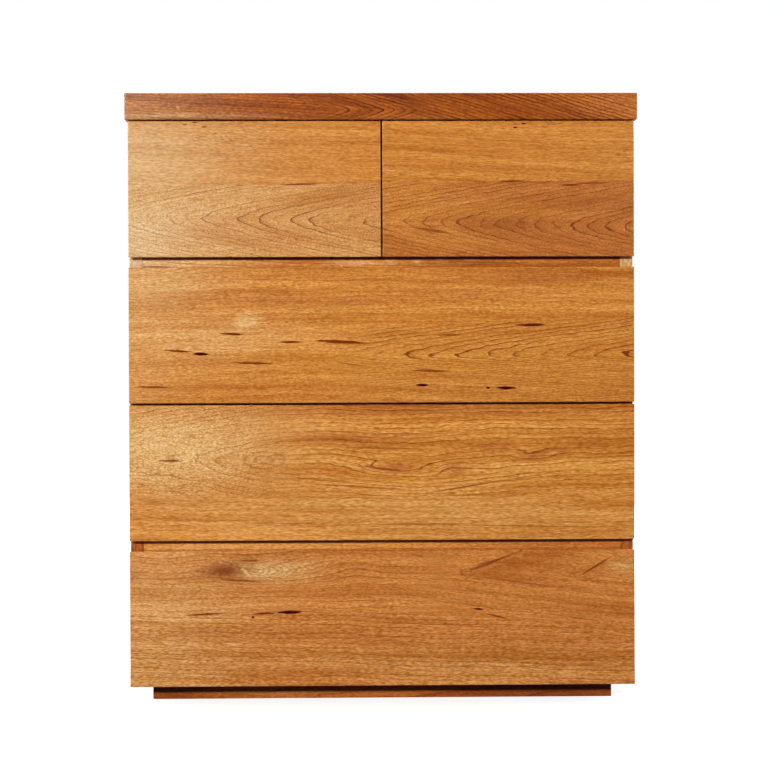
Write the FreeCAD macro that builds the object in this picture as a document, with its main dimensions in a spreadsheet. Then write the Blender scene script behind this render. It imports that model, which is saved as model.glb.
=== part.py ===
import FreeCAD, Part
import Sketcher
import os
from types import SimpleNamespace

# A solid timber tallboy: two short drawers over three long ones, pulled at finger gaps between the rows.
# Millimetres. X runs to the right, Y to the back, Z up. The floor is Z = 0 and the front looks along -Y.

SIZES = {
    # carcass
    "body_width": 988,
    "carcass_depth": 430,
    "side_thickness": 25,
    "top_thickness": 52,
    "top_overhang": 6,
    "top_round": 2,
    "bottom_thickness": 20,
    "back_thickness": 9,
    "back_rebate": 12,
    "divider_thickness": 25,
    # rails and runners
    "rail_thickness": 25,
    "rail_depth": 60,
    "rail_setback": 2,
    "rear_rail_depth": 30,
    "runner_width": 40,
    "centre_runner_width": 80,
    # drawer fronts and the gaps between them
    "front_height": 265,
    "front_thickness": 22,
    "front_standoff": 2,
    "finger_gap": 20,
    "closed_gap": 4,
    "top_gap": 2,
    "pair_gap": 3,
    "finger_lip": 8,
    "front_round": 1.5,
    # drawer boxes
    "drawer_board": 15,
    "drawer_bottom": 8,
    "bottom_raise": 16,
    "groove_depth": 5,
    "back_drop": 8,
    "side_tail": 12,
    "rear_space": 18,
    "dovetail_neck": 7,
    "dovetail_flare": 1.2,
    "dovetail_depth": 8,
    # turning stops on the drawer backs
    "stop_width": 18,
    "stop_thickness": 12,
    "stop_reach": 10,
    "stop_drop": 18,
    "stop_offset": 150,
    "spindle_diameter": 8,
    # plinth
    "plinth_height": 32,
    "plinth_side_inset": 40,
    "plinth_front_inset": 35,
    "plinth_rear_inset": 20,
    "plinth_board": 60,
    # joints
    "tenon_thickness": 10,
    "tenon_length": 12,
    "tenon_shoulder": 12,
    "rear_shoulder": 8,
    "tongue_end": 20,
    "runner_tongue": 6,
    # screws and felt discs
    "screw_diameter": 4,
    "screw_head": 8,
    "screw_head_height": 3,
    "screw_sink": 0.5,
    "screw_grip": 15,
    "bumper_diameter": 9,
    "bumper_inset": 40,
    # clearances
    "joint_clearance": 0.2,
    "run_clearance": 0.3,
    "turn_clearance": 0.05,
    "side_clearance": 1,
    "kick_clearance": 3,
    "screw_clearance": 0.3,
}


class Length:
    """Expression text for a length, so that sums and differences of lengths stay bound to the sheet."""

    def __init__(self, text):
        self.text = str(text)

    def __str__(self):
        return self.text

    def __add__(self, other):
        return Length(f"({self} + {other})")

    def __sub__(self, other):
        return Length(f"({self} - {other})")

    def __mul__(self, factor):
        return Length(f"({self} * {factor})")

    def __truediv__(self, divisor):
        return Length(f"({self} / {divisor})")

    def __neg__(self):
        return Length(f"(-1 * {self})")


doc = FreeCAD.newDocument("tallboy")
sheet = doc.addObject("Spreadsheet::Sheet", "sizes")
for row, (alias, value) in enumerate(SIZES.items(), start=1):
    sheet.set(f"A{row}", alias)
    sheet.set(f"B{row}", str(value))
    sheet.setAlias(f"B{row}", alias)
doc.recompute()

s = SimpleNamespace(**{alias: Length(f"sizes.{alias}") for alias in SIZES})
pieces = []

PLANES = {"x": "YZ_Plane", "y": "XZ_Plane", "z": "XY_Plane"}

# Rough corners of a new outline and the rough size of a new circle, before their lengths are bound.
ROUGH_CORNERS = ((0, 0), (9, 0), (8, 7), (1, 7))
ROUGH_STEP = 9
ROUGH_RADIUS = 2

# How near two faces or edges are when they count as level, and the least volume that a cut or pad may change.
LEVEL = 1e-6
LEAST_CHANGE = 1e-3

# Places of the screws: shares of the distance from the middle to an end, and of the back's height.
TOP_SCREW_PLACES = (-0.8, -0.3, 0.3, 0.8)
PLINTH_SCREW_PLACES = (-0.8, -0.25, 0.25, 0.8)
BACK_SCREW_PLACES = (0.05, 0.3, 0.5, 0.7, 0.95)


def in_plane(axis, point):
    """A point in the axes of the origin plane that is square to the given axis."""
    x, y, z = point
    return {"x": (y, z, x), "y": (x, z, -y), "z": (x, y, z)}[axis]


def around(middle, width):
    """The low and high ends of a width that is centred on a middle."""
    return (middle - width / 2, middle + width / 2)


def on_side(side, near, far):
    """A span between two distances from the middle plane, on the left or on the right."""
    if side == "left":
        return (-far, -near)
    return (near, far)


class Board:
    """A body with its low corner at its own origin, worked on in the coordinates of the whole object."""

    def __init__(self, label, x, y, z):
        self.body = doc.addObject("PartDesign::Body", label)
        self.low = (x[0], y[0], z[0])
        self.count = 0
        for axis, low in zip("xyz", self.low):
            self.body.setExpression(f"Placement.Base.{axis}", str(low))
        self.add(x, y, z)
        pieces.append(self.body)

    def name(self, kind):
        self.count += 1
        return f"{self.body.Name}_{kind}_{self.count}"

    def sketch(self, axis, point):
        """An empty sketch square to an axis, with its origin at a point of the whole object."""
        sketch = self.body.newObject("Sketcher::SketchObject", self.name("sketch"))
        plane = next(one for one in self.body.Origin.OriginFeatures if one.Role == PLANES[axis])
        sketch.AttachmentSupport = (plane, [""])
        sketch.MapMode = "FlatFace"
        local = [value - low for value, low in zip(point, self.low)]
        for name, value in zip("xyz", in_plane(axis, local)):
            sketch.setExpression(f"AttachmentOffset.Base.{name}", str(value))
        return sketch

    def feature(self, kind, sketch, length, reverse=False):
        """A pad or pocket of a sketch over a length."""
        feature = self.body.newObject(f"PartDesign::{kind}", self.name(kind.lower()))
        feature.Profile = sketch
        feature.setExpression("Length", str(length))
        feature.Reversed = reverse
        sketch.Visibility = False
        return feature

    def add(self, x, y, z):
        """A block of wood joined to the body, such as a tenon."""
        sketch = self.sketch("z", (x[0], y[0], z[0]))
        outline(sketch, [(0, 0), (x[1] - x[0], 0), (x[1] - x[0], y[1] - y[0]), (0, y[1] - y[0])])
        self.feature("Pad", sketch, z[1] - z[0])

    def cut(self, x, y, z):
        """A rectangular mortise, groove or rebate."""
        sketch = self.sketch("z", (x[0], y[0], z[1]))
        outline(sketch, [(0, 0), (x[1] - x[0], 0), (x[1] - x[0], y[1] - y[0]), (0, y[1] - y[0])])
        self.feature("Pocket", sketch, z[1] - z[0])

    def dovetail(self, kind, middle, face, z, spare):
        """A dovetail along Z that widens towards the front from a face, with spare room all round."""
        neck = s.dovetail_neck + spare * 2
        base = neck + s.dovetail_flare * 2
        depth = s.dovetail_depth + spare
        level = z[0] if kind == "Pad" else z[1]
        sketch = self.sketch("z", (middle - base / 2, face - depth, level))
        outline(sketch, [(0, 0), (base, 0), (neck + s.dovetail_flare, depth), (s.dovetail_flare, depth)])
        self.feature(kind, sketch, z[1] - z[0])

    def bore(self, axis, centres, diameter, depth, reverse=False):
        """Round holes along an axis from points that lie on one plane."""
        corner = list(self.low)
        index = "xyz".index(axis)
        corner[index] = centres[0][index]
        sketch = self.sketch(axis, corner)
        for centre in centres:
            across, up, _ = in_plane(axis, [value - low for value, low in zip(centre, self.low)])
            circle(sketch, across, up, diameter / 2)
        self.feature("Pocket", sketch, depth, reverse)

    def ease(self, kind, size, chosen):
        """Round or bevel the edges of the newest feature whose box, in the body's own axes, is chosen."""
        doc.recompute()
        tip = self.body.Tip
        names = [
            f"Edge{number}"
            for number, edge in enumerate(tip.Shape.Edges, start=1)
            if chosen(edge.BoundBox, tip.Shape.BoundBox)
        ]
        feature = self.body.newObject(f"PartDesign::{kind}", self.name(kind.lower()))
        feature.Base = (tip, names)
        feature.setExpression("Radius" if kind == "Fillet" else "Size", str(size))
        tip.Visibility = False


def outline(sketch, corners):
    """A closed outline whose corners are bound to lengths along and up the sketch, or lie on its axes."""
    count = len(corners)
    start = [FreeCAD.Vector(x, y, 0) for x, y in ROUGH_CORNERS]
    for index in range(count):
        sketch.addGeometry(Part.LineSegment(start[index], start[(index + 1) % count]), False)
    for index in range(count):
        sketch.addConstraint(Sketcher.Constraint("Coincident", index, 2, (index + 1) % count, 1))
    for index, (along, up) in enumerate(corners):
        ways = (
            ("DistanceX", along, -2, start[index].x),
            ("DistanceY", up, -1, start[index].y),
        )
        for kind, length, line, begin in ways:
            if isinstance(length, Length):
                number = sketch.addConstraint(Sketcher.Constraint(kind, -1, 1, index, 1, begin or 1))
                sketch.setExpression(f"Constraints[{number}]", str(length))
            else:
                sketch.addConstraint(Sketcher.Constraint("PointOnObject", index, 1, line))


def circle(sketch, across, up, radius):
    """A circle bound to the lengths of its centre and to its radius."""
    centre = FreeCAD.Vector((1 + sketch.GeometryCount) * ROUGH_STEP, ROUGH_STEP, 0)
    index = sketch.addGeometry(Part.Circle(centre, FreeCAD.Vector(0, 0, 1), ROUGH_RADIUS), False)
    for kind, length in (("DistanceX", across), ("DistanceY", up)):
        number = sketch.addConstraint(Sketcher.Constraint(kind, -1, 1, index, 3, ROUGH_STEP))
        sketch.setExpression(f"Constraints[{number}]", str(length))
    number = sketch.addConstraint(Sketcher.Constraint("Radius", index, ROUGH_RADIUS))
    sketch.setExpression(f"Constraints[{number}]", str(radius))


def joint(tenon_on, mortise_in, x, y, z):
    """A tenon or tongue on one board and its mortise or groove, with joint clearance, in another."""
    spare = s.joint_clearance
    tenon_on.add(x, y, z)
    mortise_in.cut(*((low - spare, high + spare) for low, high in (x, y, z)))


def rod(name, point, axis, diameter, length, away=False):
    """A round solid from a point along an axis, or away along it."""
    solid = doc.addObject("Part::Cylinder", name)
    turn = {"x": FreeCAD.Vector(1, 0, 0), "y": FreeCAD.Vector(0, 1, 0), "z": FreeCAD.Vector(0, 0, 1)}[axis]
    if away:
        turn = -turn
    solid.Placement.Rotation = FreeCAD.Rotation(FreeCAD.Vector(0, 0, 1), turn)
    for name_of_axis, value in zip("xyz", point):
        solid.setExpression(f"Placement.Base.{name_of_axis}", str(value))
    solid.setExpression("Radius", str(diameter / 2))
    solid.setExpression("Height", str(length))
    return solid


def screws(label, axis, seats, shank, away=False):
    """A group of screws whose head bottoms rest at the seats and whose shanks run along an axis."""
    group = doc.addObject("Part::Compound", label)
    links = []
    for number, seat in enumerate(seats, start=1):
        body = rod(f"{label}_shank_{number}", seat, axis, s.screw_diameter, shank, away)
        head = rod(f"{label}_head_{number}", seat, axis, s.screw_head, s.screw_head_height, not away)
        screw = doc.addObject("Part::Fuse", f"{label}_{number}")
        screw.Base = body
        screw.Tool = head
        links.append(screw)
    group.Links = links
    pieces.append(group)


# Planes across the width and the depth.
middle_plane = Length(0)
half = s.body_width / 2
inner = half - s.side_thickness
rear = (s.carcass_depth + s.front_standoff + s.front_thickness + s.top_overhang) / 2
carcass_front = rear - s.carcass_depth
front_back = carcass_front - s.front_standoff
front_face = front_back - s.front_thickness
back_face = rear - s.back_thickness
rail_front = carcass_front + s.rail_setback
rail_rear = carcass_front + s.rail_depth
rear_rail_front = back_face - s.rear_rail_depth

# Heights of the drawer fronts, counted from the lowest row, and of the rails behind the gaps.
lower_row = s.plinth_height
middle_row = lower_row + s.front_height + s.finger_gap
upper_row = middle_row + s.front_height + s.closed_gap
top_row = upper_row + s.front_height + s.finger_gap
top_under = top_row + s.front_height + s.top_gap
carcass_floor = s.plinth_height + s.bottom_thickness
levels = {
    "lower": middle_row - s.finger_gap / 2,
    "middle": upper_row - s.closed_gap / 2,
    "upper": top_row - s.finger_gap / 2,
    "top": top_under - s.rail_thickness / 2,
}
rail_bottom = {name: middle - s.rail_thickness / 2 for name, middle in levels.items()}
rail_top = {name: middle + s.rail_thickness / 2 for name, middle in levels.items()}

# A tenon into the edge of a rail is shorter than one into a side.
short_tenon = s.tenon_length * 0.75


# Top, sides and bottom.
top = Board("top_panel", (-half - s.top_overhang, half + s.top_overhang), (-rear, rear),
            (top_under, top_under + s.top_thickness))
top.ease("Fillet", s.top_round, lambda edge, whole: True)

sides = {}
for side in ("left", "right"):
    panel = Board(f"{side}_side_panel", on_side(side, inner, half), (carcass_front, rear),
                  (s.plinth_height, top_under))
    outer = (lambda edge, whole: edge.XMax < LEVEL) if side == "left" else (
        lambda edge, whole: edge.XMin > whole.XMax - LEVEL)
    panel.ease("Fillet", s.front_round,
               lambda edge, whole: outer(edge, whole) and edge.ZLength > whole.ZLength / 2)
    panel.cut(on_side(side, inner, inner + s.back_rebate), (back_face, rear), (s.plinth_height, top_under))
    sides[side] = panel
    middle = inner + s.side_thickness / 2
    joint(panel, top, on_side(side, middle - s.tenon_thickness / 2, middle + s.tenon_thickness / 2),
          (carcass_front + s.tongue_end, back_face - s.tongue_end), (top_under, top_under + s.tenon_length))

bottom = Board("bottom_panel", (-inner, inner), (carcass_front, back_face), (s.plinth_height, carcass_floor))
for side, panel in sides.items():
    joint(bottom, panel, on_side(side, inner, inner + s.tenon_length),
          (carcass_front + s.tongue_end, back_face - s.tongue_end),
          around(s.plinth_height + s.bottom_thickness / 2, s.tenon_thickness))

back_edge = inner + s.back_rebate - s.joint_clearance
back = Board("back_panel", (-back_edge, back_edge), (back_face, rear), (s.plinth_height, top_under))

# Rails, tenoned into the sides.
front_rails = {}
rear_rails = {}
for level, middle in levels.items():
    front_rails[level] = Board(f"{level}_front_rail", (-inner, inner), (rail_front, rail_rear),
                               around(middle, s.rail_thickness))
    for side, panel in sides.items():
        joint(front_rails[level], panel, on_side(side, inner, inner + s.tenon_length),
              (rail_front + s.tenon_shoulder, rail_rear - s.tenon_shoulder),
              around(middle, s.tenon_thickness))
for level in ("upper", "top"):
    middle = levels[level]
    rear_rails[level] = Board(f"{level}_rear_rail", (-inner, inner), (rear_rail_front, back_face),
                              around(middle, s.rail_thickness))
    for side, panel in sides.items():
        joint(rear_rails[level], panel, on_side(side, inner, inner + s.tenon_length),
              (rear_rail_front + s.rear_shoulder, back_face - s.rear_shoulder),
              around(middle, s.tenon_thickness))

# Runners, tongued into the sides and tenoned into the rails.
for level in ("lower", "middle", "upper"):
    middle = levels[level]
    end = rear_rail_front if level in rear_rails else back_face
    for side, panel in sides.items():
        runner = Board(f"{level}_{side}_runner", on_side(side, inner - s.runner_width, inner),
                       (rail_rear, end), around(middle, s.rail_thickness))
        joint(runner, panel, on_side(side, inner, inner + s.runner_tongue),
              (rail_rear + s.tongue_end, end - s.tongue_end), around(middle, s.tenon_thickness))
        joint(runner, front_rails[level],
              on_side(side, *around(inner - s.runner_width / 2, s.runner_width / 2)),
              (rail_rear - short_tenon, rail_rear), around(middle, s.tenon_thickness))
centre_runner = Board("upper_centre_runner", around(middle_plane, s.centre_runner_width),
                      (rail_rear, rear_rail_front), around(levels["upper"], s.rail_thickness))
for rail, depth in ((front_rails["upper"], (rail_rear - short_tenon, rail_rear)),
                    (rear_rails["upper"], (rear_rail_front, rear_rail_front + short_tenon))):
    joint(centre_runner, rail, around(middle_plane, s.centre_runner_width / 2), depth,
          around(levels["upper"], s.tenon_thickness))

# Divider between the two short drawers, tenoned into the rails below and above it.
divider = Board("centre_divider", around(middle_plane, s.divider_thickness), (carcass_front, back_face),
                (rail_top["upper"], rail_bottom["top"]))
front_depth = (rail_front + s.tenon_shoulder, rail_rear - s.tenon_shoulder - s.tenon_length / 2)
rear_depth = (back_face - s.rear_shoulder - s.tenon_thickness, back_face - s.rear_shoulder)
foot = (rail_top["upper"] - short_tenon, rail_top["upper"])
head = (rail_bottom["top"], rail_bottom["top"] + short_tenon)
for rails, depth in ((front_rails, front_depth), (rear_rails, rear_depth)):
    joint(divider, rails["upper"], around(middle_plane, s.tenon_thickness), depth, foot)
    joint(divider, rails["top"], around(middle_plane, s.tenon_thickness), depth, head)

# Plinth, a flat frame with a bearer across its middle.
plinth_half = half - s.plinth_side_inset
plinth_front_line = carcass_front + s.plinth_front_inset
plinth_rear_line = rear - s.plinth_rear_inset
plinth_z = (Length(0), s.plinth_height)
plinth_front = Board("plinth_front", (-plinth_half, plinth_half),
                     (plinth_front_line, plinth_front_line + s.plinth_board), plinth_z)
plinth_rear = Board("plinth_rear", (-plinth_half, plinth_half),
                    (plinth_rear_line - s.plinth_board, plinth_rear_line), plinth_z)
plinth_inside = (plinth_front_line + s.plinth_board, plinth_rear_line - s.plinth_board)
cross_boards = {
    "plinth_left": on_side("left", plinth_half - s.plinth_board, plinth_half),
    "plinth_right": on_side("right", plinth_half - s.plinth_board, plinth_half),
    "plinth_bearer": around(middle_plane, s.plinth_board),
}
plinth_cross = {}
for label, span in cross_boards.items():
    cross = Board(label, span, plinth_inside, plinth_z)
    tenon = around((span[0] + span[1]) / 2, s.plinth_board / 2)
    thick = around(s.plinth_height / 2, s.tenon_thickness)
    joint(cross, plinth_front, tenon, (plinth_inside[0] - s.tenon_length, plinth_inside[0]), thick)
    joint(cross, plinth_rear, tenon, (plinth_inside[1], plinth_inside[1] + s.tenon_length), thick)
    plinth_cross[label] = cross


def screw_holes(board, axis, seats, through, reverse=False):
    """A clearance hole through a board from each screw seat and a counterbore for the head before it."""
    room = s.screw_clearance * 2
    board.bore(axis, seats, s.screw_diameter + room, through, reverse)
    board.bore(axis, seats, s.screw_head + room, s.screw_head_height + s.screw_sink, not reverse)


# Screws that hold the top from below, through the top rails.
bore_depth = s.screw_head_height + s.screw_sink
top_seat = rail_bottom["top"] + bore_depth
rail_left = s.rail_thickness - bore_depth
top_seats = []
for rail, line in ((front_rails["top"], (rail_front + rail_rear) / 2),
                   (rear_rails["top"], (rear_rail_front + back_face) / 2)):
    row = [(inner * place, line, top_seat) for place in TOP_SCREW_PLACES]
    screw_holes(rail, "z", row, rail_left, reverse=True)
    pilot = [(x, y, top_under) for x, y, _ in row]
    top.bore("z", pilot, s.screw_diameter + s.turn_clearance * 2, s.screw_grip + s.screw_sink, reverse=True)
    top_seats += row
screws("top_screws", "z", top_seats, rail_left + s.screw_grip)

# Screws that hold the plinth under the bottom panel.
plinth_seat = bore_depth
plinth_left_depth = s.plinth_height - bore_depth
plinth_grip = s.bottom_thickness * 0.6
front_screw_line = plinth_front_line + s.plinth_board / 3
rear_screw_line = plinth_rear_line - s.plinth_board / 3
plinth_seats = []
for board, places in (
    (plinth_front, [(plinth_half * place, front_screw_line) for place in PLINTH_SCREW_PLACES]),
    (plinth_rear, [(plinth_half * place, rear_screw_line) for place in PLINTH_SCREW_PLACES]),
    (plinth_cross["plinth_left"], [(-plinth_half + s.plinth_board / 2, middle_plane)]),
    (plinth_cross["plinth_right"], [(plinth_half - s.plinth_board / 2, middle_plane)]),
):
    row = [(x, y, plinth_seat) for x, y in places]
    screw_holes(board, "z", row, plinth_left_depth, reverse=True)
    plinth_seats += row
bottom.bore("z", [(x, y, s.plinth_height) for x, y, _ in plinth_seats],
            s.screw_diameter + s.turn_clearance * 2, plinth_grip + s.screw_sink, reverse=True)
screws("plinth_screws", "z", plinth_seats, plinth_left_depth + plinth_grip)

# Screws that hold the back panel in the rebates of the sides.
back_seat = rear - bore_depth
back_seats = []
for side, panel in sides.items():
    line = -(inner + s.back_rebate / 2) if side == "left" else inner + s.back_rebate / 2
    height = top_under - s.plinth_height
    row = [(line, back_seat, s.plinth_height + height * place) for place in BACK_SCREW_PLACES]
    panel.bore("y", [(x, back_face, z) for x, _, z in row], s.screw_diameter + s.turn_clearance * 2,
               s.screw_grip + s.screw_sink, reverse=True)
    back_seats += row
screw_holes(back, "y", back_seats, s.back_thickness - bore_depth, reverse=True)
screws("back_screws", "y", back_seats, s.back_thickness - bore_depth + s.screw_grip, away=True)

# Felt discs on the front edges of the sides and the divider, where the drawer fronts close.
side_line = inner + s.side_thickness / 2
divider_line = s.divider_thickness / 4 + s.pair_gap / 4
disc_spots = []
for row in (lower_row, middle_row, upper_row, top_row):
    heights = (row + s.bumper_inset, row + s.front_height - s.bumper_inset)
    lines = [side_line, divider_line] if row is top_row else [side_line]
    disc_spots += [(x, carcass_front, z) for z in heights for line in lines for x in (-line, line)]
bumpers = doc.addObject("Part::Compound", "bumpers")
bumpers.Links = [
    rod(f"bumper_{number}", spot, "y", s.bumper_diameter, s.front_standoff - s.joint_clearance, away=True)
    for number, spot in enumerate(disc_spots, start=1)
]
pieces.append(bumpers)


def drawer(name, front_span, bay, row, floor, ceiling, grip, stop_line):
    """A drawer that fills a bay between its runners and the rail above, with its front over a row."""
    spare = s.joint_clearance
    board = s.drawer_board
    box_rear = back_face - s.rear_space
    box_z = (floor + s.run_clearance, ceiling - s.kick_clearance)
    outer = (bay[0] + s.side_clearance, bay[1] - s.side_clearance)
    inside = (outer[0] + board, outer[1] - board)
    panel_z = (box_z[0] + s.bottom_raise, box_z[0] + s.bottom_raise + s.drawer_bottom)
    back_y = (box_rear - s.side_tail - board, box_rear - s.side_tail)
    back_top = box_z[1] - s.back_drop

    front = Board(f"{name}_front", front_span, (front_face, front_back), (row, row + s.front_height))
    front.ease("Fillet", s.front_round, lambda edge, whole: edge.YMax < LEVEL)

    def at_grip(edge, whole):
        """The long rear edge that the fingers pull, along the bottom or the top of the front."""
        off = edge.ZMax if grip == "bottom" else whole.ZMax - edge.ZMin
        return edge.XLength > whole.XLength / 2 and edge.YMin > whole.YMax - LEVEL and abs(off) < LEVEL

    front.ease("Chamfer", s.front_thickness - s.finger_lip, at_grip)
    front.cut((inside[0], inside[1]), (front_back - s.groove_depth - spare, front_back),
              (panel_z[0] - spare / 2, panel_z[1] + spare / 2))

    for side, span in (("left", (outer[0], inside[0])), ("right", (inside[1], outer[1]))):
        wall = Board(f"{name}_{side}_side", span, (front_back, box_rear), box_z)
        wall.ease("Fillet", s.front_round, lambda edge, whole: (
            edge.YLength > whole.YLength / 2 and edge.ZMin > whole.ZMax - LEVEL))
        middle = (span[0] + span[1]) / 2
        wall.dovetail("Pad", middle, front_back, box_z, Length(0))
        front.dovetail("Pocket", middle, front_back, (row, box_z[1] + spare), s.joint_clearance)
        face = (span[1] - s.groove_depth, span[1]) if side == "left" else (span[0], span[0] + s.groove_depth)
        wall.cut(face, (front_back, box_rear), (panel_z[0] - spare / 2, panel_z[1] + spare / 2))
        wall.cut(face, (back_y[0] - spare / 2, back_y[1] + spare / 2), (panel_z[1], box_z[1]))

    held = s.groove_depth - spare
    base = Board(f"{name}_bottom", (inside[0] - held, inside[1] + held), (front_back, box_rear), panel_z)
    base.add((inside[0] + spare, inside[1] - spare), (front_back - s.groove_depth, front_back), panel_z)

    rear_board = Board(f"{name}_back", (inside[0] - held, inside[1] + held), back_y, (panel_z[1], back_top))
    pivot_z = back_top - s.stop_drop
    rear_board.bore("y", [(stop_line, back_y[0], pivot_z)], s.spindle_diameter + s.turn_clearance * 2, board)

    stop_rear = back_y[0] - s.run_clearance
    stop = Board(f"{name}_stop", around(stop_line, s.stop_width), (stop_rear - s.stop_thickness, stop_rear),
                 (pivot_z - s.stop_width / 2, ceiling + s.stop_reach))
    stop_round = s.stop_width * 0.45
    stop.ease("Fillet", stop_round, lambda edge, whole: edge.YLength > whole.YLength / 2)
    spindle = stop.sketch("y", (stop_line - s.stop_width / 2, stop_rear, pivot_z - s.stop_width / 2))
    circle(spindle, s.stop_width / 2, s.stop_width / 2, s.spindle_diameter / 2)
    stop.feature("Pad", spindle, board + s.run_clearance * 2, reverse=True)


bays = {
    "left": (-inner, -s.divider_thickness / 2),
    "right": (s.divider_thickness / 2, inner),
    "whole": (-inner, inner),
}
pair_inner = s.pair_gap / 2
for side in ("left", "right"):
    stop_line = (bays[side][0] + bays[side][1]) / 2
    drawer(f"top_{side}_drawer", on_side(side, pair_inner, half), bays[side], top_row,
           rail_top["upper"], rail_bottom["top"], "bottom", stop_line)
drawer("upper_drawer", (-half, half), bays["whole"], upper_row,
       rail_top["middle"], rail_bottom["upper"], "top", s.stop_offset)
drawer("middle_drawer", (-half, half), bays["whole"], middle_row,
       rail_top["lower"], rail_bottom["middle"], "bottom", s.stop_offset)
drawer("lower_drawer", (-half, half), bays["whole"], lower_row,
       carcass_floor, rail_bottom["lower"], "top", s.stop_offset)

doc.recompute()

# Every object must be sound, every cut must take wood away and every pad must add some.
for one in doc.Objects:
    if "Invalid" in one.State or "Error" in one.State:
        raise RuntimeError(f"{one.Label} did not recompute")
    if one.TypeId in ("PartDesign::Pocket", "PartDesign::Pad") and one.BaseFeature:
        change = one.Shape.Volume - one.BaseFeature.Shape.Volume
        wanted = 1 if one.TypeId.endswith("Pad") else -1
        if change * wanted < LEAST_CHANGE:
            raise RuntimeError(f"{one.Label} changes nothing")

os.makedirs("parts", exist_ok=True)
for piece in pieces:
    shape = piece.Shape
    if shape.isNull() or not shape.isValid():
        raise RuntimeError(f"{piece.Label} has no sound shape")
    shape.exportStep(f"parts/{piece.Label}.step")
print(len(pieces), "pieces")
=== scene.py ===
import math

import bpy
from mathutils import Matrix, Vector

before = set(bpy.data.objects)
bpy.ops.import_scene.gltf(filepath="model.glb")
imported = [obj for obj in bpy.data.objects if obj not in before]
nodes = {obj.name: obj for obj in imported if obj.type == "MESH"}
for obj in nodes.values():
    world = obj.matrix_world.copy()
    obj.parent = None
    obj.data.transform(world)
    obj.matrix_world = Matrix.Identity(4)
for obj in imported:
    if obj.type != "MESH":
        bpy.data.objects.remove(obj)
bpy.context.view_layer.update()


class Net:
    """Adds shader nodes to one tree and joins them."""

    def __init__(self, tree):
        self.tree = tree

    def add(self, kind, **settings):
        node = self.tree.nodes.new("ShaderNode" + kind)
        for key, value in settings.items():
            setattr(node, key, value)
        return node

    def put(self, value, socket):
        if isinstance(value, bpy.types.NodeSocket):
            self.tree.links.new(value, socket)
        else:
            socket.default_value = value

    def math(self, operation, *values, clamp=False):
        node = self.add("Math", operation=operation, use_clamp=clamp)
        for value, socket in zip(values, node.inputs):
            self.put(value, socket)
        return node.outputs[0]

    def total(self, *values):
        result = values[0]
        for value in values[1:]:
            result = self.math("ADD", result, value)
        return result

    def product(self, *values):
        result = values[0]
        for value in values[1:]:
            result = self.math("MULTIPLY", result, value)
        return result

    def length(self, first, second):
        """The length of a flat vector."""
        return self.math("SQRT", self.math("ADD", self.product(first, first), self.product(second, second)))

    def between(self, value, low, high, to_low=0.0, to_high=1.0):
        """A smooth step of a value from one range to another."""
        node = self.add("MapRange", interpolation_type="SMOOTHSTEP")
        for number, socket in zip((value, low, high, to_low, to_high), node.inputs):
            self.put(number, socket)
        return node.outputs[0]

    def split(self, vector):
        node = self.add("SeparateXYZ")
        self.put(vector, node.inputs[0])
        return node.outputs[0], node.outputs[1], node.outputs[2]

    def join(self, x, y, z):
        node = self.add("CombineXYZ")
        for value, socket in zip((x, y, z), node.inputs):
            self.put(value, socket)
        return node.outputs[0]

    def noise(self, vector, detail=2.0, roughness=0.5):
        """Smooth noise of a vector, centred on zero."""
        node = self.add("TexNoise", noise_dimensions="3D")
        self.put(vector, node.inputs["Vector"])
        node.inputs["Scale"].default_value = 1.0
        node.inputs["Detail"].default_value = detail
        node.inputs["Roughness"].default_value = roughness
        return self.math("SUBTRACT", node.outputs[0], 0.5)

    def mix(self, factor, first, second, blend="MIX"):
        node = self.add("Mix", data_type="RGBA", blend_type=blend)
        self.put(factor, node.inputs[0])
        self.put(first, node.inputs[6])
        self.put(second, node.inputs[7])
        return node.outputs[2]

    def blend(self, factor, first, second):
        """A value between two values."""
        node = self.add("Mix", data_type="FLOAT")
        self.put(factor, node.inputs[0])
        self.put(first, node.inputs[2])
        self.put(second, node.inputs[3])
        return node.outputs[0]

    def use(self, group, **values):
        """A node of a group, with its sockets filled by their names in lower case."""
        node = self.add("Group", node_tree=group)
        for name, value in values.items():
            self.put(value, node.inputs[name.replace("_", " ").capitalize()])
        return node


SOCKETS = {"value": "NodeSocketFloat", "vector": "NodeSocketVector", "colour": "NodeSocketColor"}


def new_group(name, inputs, outputs):
    """An empty shader group with named sockets, its net, its input sockets by name, and its output node."""
    tree = bpy.data.node_groups.new(name, "ShaderNodeTree")
    for label, kind in inputs:
        tree.interface.new_socket(name=label, in_out="INPUT", socket_type=SOCKETS[kind])
    for label, kind in outputs:
        tree.interface.new_socket(name=label, in_out="OUTPUT", socket_type=SOCKETS[kind])
    net = Net(tree)
    given = tree.nodes.new("NodeGroupInput")
    result = tree.nodes.new("NodeGroupOutput")
    return tree, net, {socket.name: socket for socket in given.outputs}, result


# Noise that moves the rings, as waves per metre along the grain and across it.
HEART_WAVES = 3.5
SLOW_WAVES = (5.0, 16.0)
QUICK_WAVES = (30.0, 95.0)
JAG_WAVES = (90.0, 260.0)
# A jag's share of the ripple, and how far an arrow head's tip is rounded, in metres.
JAG_SHARE = 0.3
TIP_ROUNDING = 0.003
# How far the fibres follow a swelling, as a share, and the slow and the quick noise, in metres.
FIBRE_FOLLOW = 0.3
FIBRE_SWAY = 0.02
FIBRE_RIPPLE = 0.003
# How far one step of a seed moves the noise of the rings.
RING_SEED_STEP = 7.31


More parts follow.
